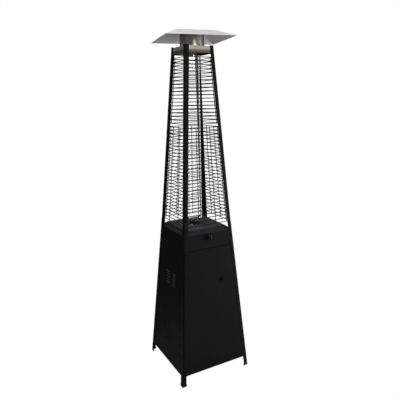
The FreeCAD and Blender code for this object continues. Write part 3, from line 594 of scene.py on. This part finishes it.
def make_door():
    door = Mesh()
    place = lower.face("front")
    outline = rounded(strip(DOOR_LOW, DOOR_HIGH, DOOR_LEFT, DOOR_RIGHT), [0.0015] * 4)
    door.slab(outline, DOOR_OUT, DOOR_OUT + SHEET, place, 0.0003)
    folded_edge(door, place, DOOR_HIGH, DOOR_OUT, True)
    folded_edge(door, place, DOOR_LOW, DOOR_OUT, False)
    door.piece("door_skin", "panel_paint", ["door_panel"], "door")

    pull = Mesh()
    profile = [
        (0.0001, 0.0), (0.0078, 0.0), (0.0081, 0.0004), (0.0080, 0.0012), (0.0066, 0.0028),
        (0.0060, 0.0050), (0.0060, 0.0078), (0.0070, 0.0092), (0.0112, 0.0102), (0.0126, 0.0112),
        (0.0130, 0.0126), (0.0130, 0.0146), (0.0126, 0.0160), (0.0115, 0.0172), (0.0095, 0.0178),
        (0.0060, 0.0180), (0.0001, 0.0180),
    ]
    pull.lathe(profile, 48, lower.face("front", PULL_ACROSS, PULL_LEVEL, DOOR_OUT + SHEET))
    pull.piece("door_pull", "door_knob_metal", ["door_knob"], "door")


def louvre_hood(mesh, place, middle, level, reach):
    """A pressed hood: a thin curved shell that stands out over its slot and dies away at its ends."""
    columns, rows = 14, 6
    top, bottom, depth, sheet = 0.0078, 0.0006, 0.0034, 0.0006
    rings = []
    for c in range(columns + 1):
        share = 2 * c / columns - 1
        rise = math.sqrt(max(0.0, 1 - share**4))
        front, back = [], []
        for r in range(rows + 1):
            turn = math.radians(90 * r / rows)
            up = level + bottom + (top - bottom) * math.cos(turn) * (0.25 + 0.75 * rise)
            out = 0.0002 + depth * math.sin(turn) * rise
            front.append((middle + share * reach, up, out - ANGLE_SHEET))
            back.append((middle + share * reach, up - sheet * math.cos(turn), out - sheet - ANGLE_SHEET))
        rings.append(front + back[::-1])
    mesh.loft(rings, place)


def make_louvres():
    for face in ("left", "right"):
        hoods = Mesh()
        place = lower.face(face)
        for column in (-0.5, 0.5):
            for row in (-2, -1, 0, 1, 2):
                level = lower.along(LOUVRE_LEVEL) + LOUVRE_PITCH * row
                across = LOUVRE_SPREAD * column + LOUVRE_OFFSET
                louvre_hood(hoods, place, across, level, LOUVRE_REACH)
        obj = hoods.piece(f"louvre_hoods_{face}", "panel_paint")
        # Lighter paint on the hoods: a painted highlight that stands for light caught on their ridges.
        obj.data.materials[0] = paint["hood_highlight_paint"]


make_door()
make_louvres()

# Control knob with its dial


def make_control():
    knob = Mesh()
    sides = 120
    flutes = 20
    place = lower.face("front", 0.0, KNOB_LEVEL)
    profile = [
        (0.0040, 0.0080, 0), (0.0172, 0.0080, 0), (0.0180, 0.0086, 1), (0.0180, 0.0118, 1),
        (0.0174, 0.0130, 1), (0.0160, 0.0138, 0), (0.0146, 0.0145, 0), (0.0138, 0.0160, 0),
        (0.0134, 0.0190, 0), (0.0131, 0.0206, 0), (0.0122, 0.0213, 0), (0.0001, 0.0215, 0),
    ]
    rings = []
    for radius, height, fluted in profile:
        ring = []
        for x, y, z in circle(1.0, height, sides):
            dent = 0.0009 * fluted * max(0.0, math.cos(flutes * math.atan2(y, x))) ** 2
            ring.append((x * (radius - dent), y * (radius - dent), z))
        rings.append(ring)
    knob.loft(rings, place)
    grip = [
        (0.0032, -0.0130, 0.0205), (0.0034, -0.0134, 0.0240), (0.0030, -0.0131, 0.0258),
        (0.0022, -0.0123, 0.0267), (0.0010, -0.0108, 0.0270),
    ]
    bars = []
    for wide, end, height in grip:
        corners = [(-wide, end), (wide, end), (wide, -end * 1.16), (-wide, -end * 1.16)]
        bars.append([(x, y, height) for x, y in rounded(corners, [wide * 0.95] * 4, 5)])
    knob.loft(bars, place)
    knob.piece("knob_cap", "knob_plastic", ["control_knob"], "knob", 50)

    dial = Mesh()
    place = lower.face("front", 0.0, KNOB_LEVEL, -ANGLE_SHEET / lower.stretch)
    ring = [
        (0.0125, 0.0), (0.0250, 0.0), (0.0250, 0.0010), (0.0247, 0.0014), (0.0242, 0.0015),
        (0.0133, 0.0015), (0.0128, 0.0014), (0.0125, 0.0010),
    ]
    dial.lathe(ring, 96, place, loop=True)
    for degrees in (90, 135, 180, 225, 270):
        turn = Matrix.Rotation(math.radians(degrees), 4, "Z")
        mark = rounded([(0.0205, -0.0006), (0.0238, -0.0006), (0.0238, 0.0006), (0.0205, 0.0006)],
                       [0.0005] * 4)
        dial.slab(mark, 0.0013, 0.0018, place @ turn, 0.0001)
    dial.piece("dial_plate", "dial_metal", ["dial_ring"])


make_control()

# Pressed trays, glass and head


def pressed_tray(low, low_half, high, high_half, hole, sheet, bend, hem=0.0):
    """A square sheet pressing with rounded folds, a flat top and a rolled round hole."""
    mesh = Mesh()
    drop = (low_half - high_half) / (high - low)
    fold = bend / (high - low)
    corner = 0.006
    outer = [(low_half, low, 1.0)]
    if hem:
        outer.append((low_half - 0.0002, low + 0.0004, 1.0))
    outer += [
        (high_half + drop * bend * 1.6, high - bend * 1.6, 0.8),
        (high_half + drop * bend * 0.5, high - bend * 0.55, 0.7),
        (high_half + drop * bend * 0.05, high - bend * 0.12, 0.6),
        (high_half - bend * 0.5, high, 0.5),
    ]
    rings = [
        square_ring(reach, level, corner * share + fold * 0.001) for reach, level, share in outer
    ]
    if hole:
        rolled = 0.0012
        rings += [
            hole_ring(hole + rolled, high), hole_ring(hole + rolled * 0.3, high - rolled * 0.3),
            hole_ring(hole, high - rolled), hole_ring(hole, high - rolled * 2.2),
            hole_ring(hole + sheet, high - rolled * 2.2), hole_ring(hole + sheet, high - sheet),
        ]
    under = [
        (high_half - sheet, high - sheet, 0.5),
        (low_half - sheet - 0.0006 - hem, low + 0.0002 + hem * 0.42, 1.0),
    ]
    if hem:
        under += [
            (low_half - 0.0002 - hem, low - 0.0007 + hem * 0.42, 1.0),
            (low_half - 0.0016, low - 0.0011, 1.0), (low_half - 0.0004, low - 0.0007, 1.0),
        ]
    if not hole:
        mesh.loft(rings, start_cap=False)
        lower_rings = [square_ring(reach, level, corner * share) for reach, level, share in under]
        mesh.loft([rings[0]] + lower_rings[::-1], start_cap=False)
        return mesh
    rings += [square_ring(reach, level, corner * share) for reach, level, share in under]
    mesh.loft(rings, loop=True)
    return mesh


def make_trays():
    clear = 2 * ANGLE_SHEET
    platform = pressed_tray(
        SEAT_LEVEL, half(SEAT_LEVEL + 0.001) - clear - 0.0003, PLATFORM_TOP, PLATFORM_HALF,
        TUBE_HOLE, 0.001, 0.003)
    platform.piece("platform_pressing", "platform_paint", ["burner_platform"])
    plate = pressed_tray(
        PLATE_LOW, half(PLATE_LOW) - clear, PLATE_TOP, half(PLATE_TOP) - clear,
        TUBE_HOLE, 0.0012, 0.002)
    plate.piece("head_plate", "plate_steel", ["top_plate"])
    cover = pressed_tray(
        RIM_LEVEL, RIM_HALF, CROWN_LEVEL, CROWN_HALF, None, 0.001, 0.0022, hem=0.011)
    spin = Matrix.Rotation(REFLECTOR_TURN, 4, "Z")
    cover.verts = [spin @ v for v in cover.verts]
    cover.piece("reflector_sheet", "reflector_aluminium", ["reflector"])


def make_glass():
    """The flame tube. Rings close to its soft ends keep the shading of the long walls true."""
    glass = Mesh()
    out, inside, low, high = TUBE_RADIUS, TUBE_BORE, TUBE_LOW, TUBE_HIGH
    soft, hold = 0.0008, 0.0016
    profile = [
        (inside + soft, low), (out - soft, low), (out - soft * 0.3, low + soft * 0.3),
        (out, low + soft),
        (out, low + hold), (out, 1.4), (out, 1.8), (out, high - hold), (out, high - soft),
        (out - soft * 0.3, high - soft * 0.3),
        (out - soft, high), (inside + soft, high), (inside + soft * 0.3, high - soft * 0.3),
        (inside, high - soft), (inside, high - hold), (inside, 1.8), (inside, 1.4),
        (inside, low + hold), (inside, low + soft),
        (inside + soft * 0.3, low + soft * 0.3),
    ]
    glass.lathe(profile, 96, loop=True)
    glass.piece("flame_tube", "tube_glass", ["glass_tube"], angle=60)


def perforated_wall(mesh, radius, low, high, rows, columns, hole, sheet):
    """A cylinder of sheet with staggered round holes, as real openings through it."""
    pitch = 2 * math.pi / columns
    rise = (high - low) / rows
    wide = radius * pitch

    def at(x, z, depth):
        turn = x / radius
        return ((radius - depth) * math.cos(turn), (radius - depth) * math.sin(turn), z)

    for row in range(rows):
        for column in range(columns):
            x = (column + 0.5 * (row % 2)) * wide
            z = low + (row + 0.5) * rise
            edge, rim = [], []
            for k in range(8):
                turn = math.radians(45 * k)
                dx, dz = math.cos(turn), math.sin(turn)
                grow = 1 / max(abs(dx), abs(dz))
                edge.append((x + dx * grow * wide / 2, z + dz * grow * rise / 2))
                rim.append((x + dx * hole, z + dz * hole))
            verts = [at(*p, 0.0) for p in edge + rim] + [at(*p, sheet) for p in edge + rim]
            faces = []
            for k in range(8):
                n = (k + 1) % 8
                faces.append([k, n, 8 + n, 8 + k])
                faces.append([16 + n, 16 + k, 24 + k, 24 + n])
                faces.append([8 + k, 8 + n, 24 + n, 24 + k])
            mesh.add(verts, faces)


def make_flame_screen():
    screen = Mesh()
    radius, sheet = SCREEN_RADIUS, 0.0008
    low, high = PLATE_TOP, SCREEN_TOP
    wall_low, wall_high = low + 0.006, high - 0.010
    sides = 186
    base = [
        (radius - sheet, wall_low), (radius, wall_low), (radius, low + 0.0022),
        (radius + 0.0005, low + 0.0012), (radius + 0.0016, low + sheet),
        (radius + 0.0057, low + sheet), (radius + 0.006, low + sheet * 0.5),
        (radius + 0.0057, low), (radius - sheet, low),
    ]
    screen.lathe(base, sides, loop=True)
    shoulder = [(radius, wall_high)]
    for k in range(1, 7):
        turn = math.radians(90 * k / 6)
        draw_in, rise = 0.009 * (1 - math.cos(turn)), 0.010 * math.sin(turn)
        shoulder.append((radius - draw_in, wall_high + rise))
    inner = [(r - sheet, z - sheet * 0.5) for r, z in shoulder[::-1]]
    screen.lathe(shoulder + inner, sides, loop=True)
    perforated_wall(screen, radius, wall_low, wall_high, 13, 93, 0.0016, sheet)
    screen.piece("flame_mesh", "screen_steel", ["flame_screen"], angle=40)
    cap = Mesh()
    cap.lathe([(0.0001, high - 0.0002), (radius - 0.0095, high - 0.0002), (radius - 0.0085, high),
               (radius - 0.0090, high + 0.0006), (radius - 0.0105, high + 0.0008),
               (0.0001, high + 0.0008)], 96)
    cap.piece("flame_mesh_cap", "screen_steel", ["flame_screen_cap"], angle=50)


make_trays()
make_glass()
make_flame_screen()

# Screws and nuts


def cross_ring(height, wide=0.00055, long=0.0020):
    corners = [
        (long, -wide), (long, wide), (wide, wide), (wide, long), (-wide, long), (-wide, wide),
        (-long, wide), (-long, -wide), (-wide, -wide), (-wide, -long), (wide, -long), (wide, -wide),
    ]
    ring = []
    for i, here in enumerate(corners):
        following = corners[(i + 1) % 12]
        ring.append((*here, height))
        ring.append(((here[0] + following[0]) / 2, (here[1] + following[1]) / 2, height))
    return ring


def matched_circle(radius, height):
    return [
        (radius * math.cos(math.atan2(y, x)), radius * math.sin(math.atan2(y, x)), height)
        for x, y, _ in cross_ring(0.0)
    ]


def add_screw(mesh, place):
    """A pan-head screw with a cross recess, and its shank behind."""
    profile = [(0.0019, -0.0080), (0.0020, -0.0076), (0.0020, 0.0), (0.0039, 0.0), (0.0040, 0.0003),
               (0.0040, 0.0009), (0.0038, 0.0015), (0.0033, 0.0020), (0.0027, 0.0023), (0.0023, 0.0024)]
    rings = [matched_circle(r, h) for r, h in profile]
    rings += [cross_ring(0.0024), cross_ring(0.0011, 0.0004, 0.0015)]
    mesh.loft(rings, place)


SCREW_MARGIN = 0.012
SCREW_GROUPS = {
    "panel_screws": (0.110, 0.540, 0.975),
    "post_screws": (1.037,),
    "guard_screws": (1.137, 1.645, 1.737, 2.094),
    "plate_screws": (2.160,),
}


def make_screws():
    for group, levels in SCREW_GROUPS.items():
        mesh = Mesh()
        seat = -ANGLE_SHEET if group in ("guard_screws", "plate_screws") else 0.0
        for face in FACE_TURN:
            for level in levels:
                if face == "front" and level < 0.9:
                    continue
                taper = lower if level < KNEE else upper
                for side in (-1, 1):
                    across = side * (half(level) - SCREW_MARGIN)
                    spin = Matrix.Rotation(random.uniform(0, math.pi / 2), 4, "Z")
                    add_screw(mesh, taper.face(face, across, level, seat) @ spin)
        mesh.piece(group.replace("screws", "heads"), "black_fixing", [group])


def hexagon(reach, height):
    """A hexagon with the same 24 points as a cross ring, rounded a little at its corners."""
    ring = []
    for x, y, _ in cross_ring(0.0):
        turn = math.atan2(y, x)
        local = (turn + math.pi / 6) % (math.pi / 3) - math.pi / 6
        radius = min(reach / math.cos(local), reach * 1.12)
        ring.append((radius * math.cos(turn), radius * math.sin(turn), height))
    return ring


def make_nuts():
    spin = Matrix.Rotation(REFLECTOR_TURN, 4, "Z")
    nuts = Mesh()
    rings = [
        matched_circle(0.0075, 0.0), matched_circle(0.0075, 0.0007), matched_circle(0.0071, 0.001),
        hexagon(0.0047, 0.001), hexagon(0.0048, 0.0013), hexagon(0.0048, 0.0042),
        hexagon(0.0045, 0.0047), matched_circle(0.0042, 0.0048), matched_circle(0.0037, 0.0064),
        matched_circle(0.0025, 0.0075), matched_circle(0.0010, 0.0080),
    ]
    for x in (-STUD_SPREAD, STUD_SPREAD):
        for y in (-STUD_SPREAD, STUD_SPREAD):
            tightened = Matrix.Rotation(random.uniform(0, 1), 4, "Z")
            nuts.loft(rings, spin @ Matrix.Translation((x, y, CROWN_LEVEL)) @ tightened)
    nuts.piece("cap_nuts", "fixing_steel", ["reflector_nuts"], angle=25)


make_screws()
make_nuts()

# Floor, light and camera

scene = bpy.context.scene
scene.view_settings.view_transform = "Standard"
FLOOR_SIZE = 60
FLOOR_SIDE, FLOOR_SPAN, FLOOR_GREYS = (0.5, -0.85, 0.0), (-1.2, 0.8), (0.1, 0.7)
SKY = [(0.0, 0.16), (0.25, 0.3), (0.6, 0.75), (1.0, 1.0)]


def seen_directly(tree):
    """A factor: 1 where the camera looks, straight or through glass, and 0 for bounced light."""
    path = tree.nodes.new("ShaderNodeLightPath")
    either = tree.nodes.new("ShaderNodeMath")
    either.operation = "MAXIMUM"
    tree.links.new(path.outputs["Is Camera Ray"], either.inputs[0])
    tree.links.new(path.outputs["Is Transmission Ray"], either.inputs[1])
    return either.outputs["Value"]


def make_floor():
    bpy.ops.mesh.primitive_plane_add(size=FLOOR_SIZE, location=(0, 0, 0))
    floor = bpy.context.object
    floor.name = "Floor"
    look = bpy.data.materials.new("FloorLook")
    look.use_nodes = True
    tree = look.node_tree
    tree.nodes.clear()
    output = tree.nodes.new("ShaderNodeOutputMaterial")
    mix = tree.nodes.new("ShaderNodeMixShader")
    matt = tree.nodes.new("ShaderNodeBsdfDiffuse")
    where = tree.nodes.new("ShaderNodeTexCoord")
    # For bounced light the floor is painted in a grey gradient: painted shade darkest towards the back
    # left, lightest towards the front right.
    side = tree.nodes.new("ShaderNodeVectorMath")
    side.operation = "DOT_PRODUCT"
    side.inputs[1].default_value = FLOOR_SIDE
    tree.links.new(where.outputs["Object"], side.inputs[0])
    shade = tree.nodes.new("ShaderNodeMapRange")
    shade.inputs["From Min"].default_value, shade.inputs["From Max"].default_value = FLOOR_SPAN
    shade.inputs["To Min"].default_value, shade.inputs["To Max"].default_value = FLOOR_GREYS
    tree.links.new(side.outputs["Value"], shade.inputs["Value"])
    tree.links.new(shade.outputs["Result"], matt.inputs["Color"])
    glow = tree.nodes.new("ShaderNodeEmission")
    tree.links.new(seen_directly(tree), mix.inputs["Fac"])
    tree.links.new(matt.outputs["BSDF"], mix.inputs[1])
    tree.links.new(glow.outputs["Emission"], mix.inputs[2])
    tree.links.new(mix.outputs["Shader"], output.inputs["Surface"])
    floor.data.materials.append(look)


def make_world():
    """A white studio to look at; the light it gives is softer, strongest from overhead."""
    world = bpy.data.worlds.new("Studio")
    scene.world = world
    world.use_nodes = True
    tree = world.node_tree
    tree.nodes.clear()
    output = tree.nodes.new("ShaderNodeOutputWorld")
    mix = tree.nodes.new("ShaderNodeMixShader")
    soft, white = (tree.nodes.new("ShaderNodeBackground") for _ in range(2))
    white.inputs["Color"].default_value = (1, 1, 1, 1)
    direction = tree.nodes.new("ShaderNodeTexCoord")
    split = tree.nodes.new("ShaderNodeSeparateXYZ")
    tree.links.new(direction.outputs["Generated"], split.inputs["Vector"])
    ramp = tree.nodes.new("ShaderNodeValToRGB")
    elements = ramp.color_ramp.elements
    while len(elements) < len(SKY):
        elements.new(0.5)
    for element, (place, level) in zip(elements, SKY):
        element.position = place
        element.color = (*grey(level), 1.0)
    tree.links.new(split.outputs["Z"], ramp.inputs["Fac"])
    tree.links.new(ramp.outputs["Color"], soft.inputs["Color"])
    tree.links.new(seen_directly(tree), mix.inputs["Fac"])
    tree.links.new(soft.outputs["Background"], mix.inputs[1])
    tree.links.new(white.outputs["Background"], mix.inputs[2])
    tree.links.new(mix.outputs["Shader"], output.inputs["Surface"])


def area_light(name, place, aim, width, height, power):
    data = bpy.data.lights.new(name, "AREA")
    data.shape = "RECTANGLE"
    data.size, data.size_y = width, height
    data.energy = power
    lamp = bpy.data.objects.new(name, data)
    scene.collection.objects.link(lamp)
    lamp.location = place
    lamp.rotation_euler = (Vector(aim) - Vector(place)).to_track_quat("-Z", "Y").to_euler()
    return lamp


make_floor()
make_world()
area_light("Strip", (2.45, -1.74, 1.3), (0, 0, 1.3), 0.55, 2.2, 50)
area_light("Front", (-0.15, -3.6, 2.75), (0, 0, 1.9), 0.9, 0.9, 40)

CAMERA_PLACE = (-1.3287, -2.4927, 1.8577)
AZIMUTH, ELEVATION, ROLL = (math.radians(v) for v in (-28.736, 13.171, -1.002))
FOCAL_PIXELS, IMAGE_PIXELS, SENSOR = 426.18, 400, 36.0


def make_camera():
    back = Vector((
        math.sin(AZIMUTH) * math.cos(ELEVATION),
        -math.cos(AZIMUTH) * math.cos(ELEVATION),
        math.sin(ELEVATION),
    ))
    right = Vector((math.cos(AZIMUTH), math.sin(AZIMUTH), 0))
    up = back.cross(right)
    across = right * math.cos(ROLL) + up * math.sin(ROLL)
    above = up * math.cos(ROLL) - right * math.sin(ROLL)
    data = bpy.data.cameras.new("Camera")
    data.sensor_width = SENSOR
    data.lens = FOCAL_PIXELS / IMAGE_PIXELS * SENSOR
    camera = bpy.data.objects.new("Camera", data)
    scene.collection.objects.link(camera)
    turn = Matrix((across, above, back)).transposed().to_4x4()
    camera.matrix_world = Matrix.Translation(CAMERA_PLACE) @ turn
    scene.camera = camera


make_camera()
